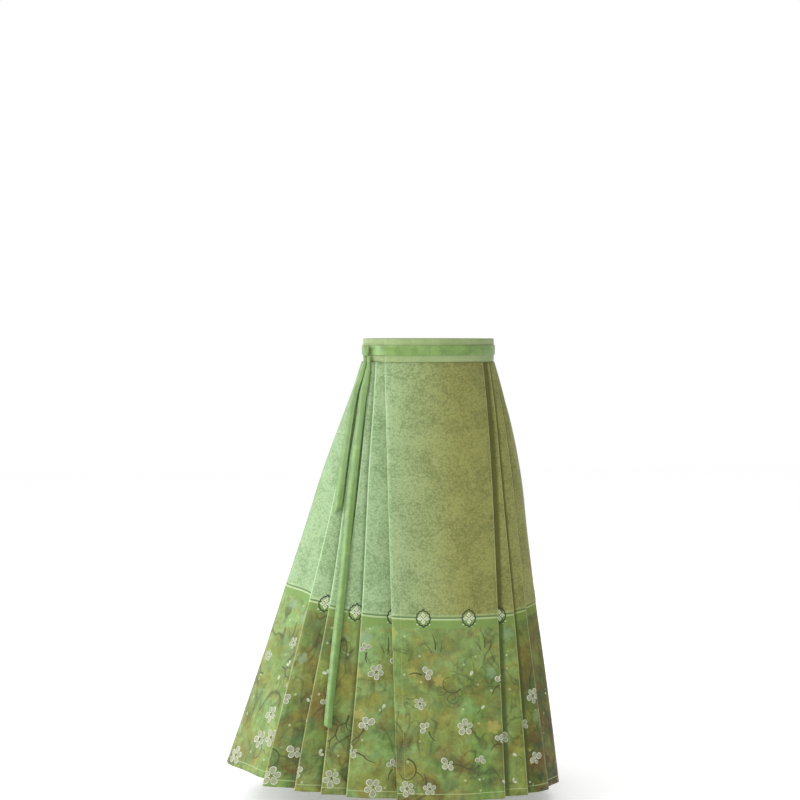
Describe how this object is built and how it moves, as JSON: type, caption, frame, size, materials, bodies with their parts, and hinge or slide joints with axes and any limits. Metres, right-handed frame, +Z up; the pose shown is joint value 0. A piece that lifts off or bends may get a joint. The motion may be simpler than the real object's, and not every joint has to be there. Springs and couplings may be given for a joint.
{
  "type": "embroidered pleated wrap skirt",
  "caption": "Long flared wrap skirt in its worn, hollow form: flat front and back panels, knife pleats at both sides, a waistband and a tied ribbon.",
  "frame": {"origin": "middle of the waist, half way up the waistband, where the wearer's waist carries the skirt", "axes": "+Z up out of the waist, +X to the right seen from the front, and the front panel faces -Y"},
  "size_m": [0.7062, 0.5949, 0.9488],
  "materials": {
    "skirt_cloth": "fine jacquard with a soft sheen, watercolour green print and pale raised blossoms",
    "band_cloth": "plain sage green cloth, topstitched",
    "ribbon": "plain green satin-weave tape"
  },
  "bodies": {
    "root": {"waistband": "band_cloth", "front_panel_outer": "skirt_cloth", "front_panel_inner": "skirt_cloth", "back_panel_outer": "skirt_cloth", "back_panel_inner": "skirt_cloth", "pleats_left": "skirt_cloth", "pleats_right": "skirt_cloth", "tie_loop": "ribbon", "tie_knot": "ribbon", "tie_tail_long": "ribbon", "tie_tail_short": "ribbon"}
  },
  "joints": []
}
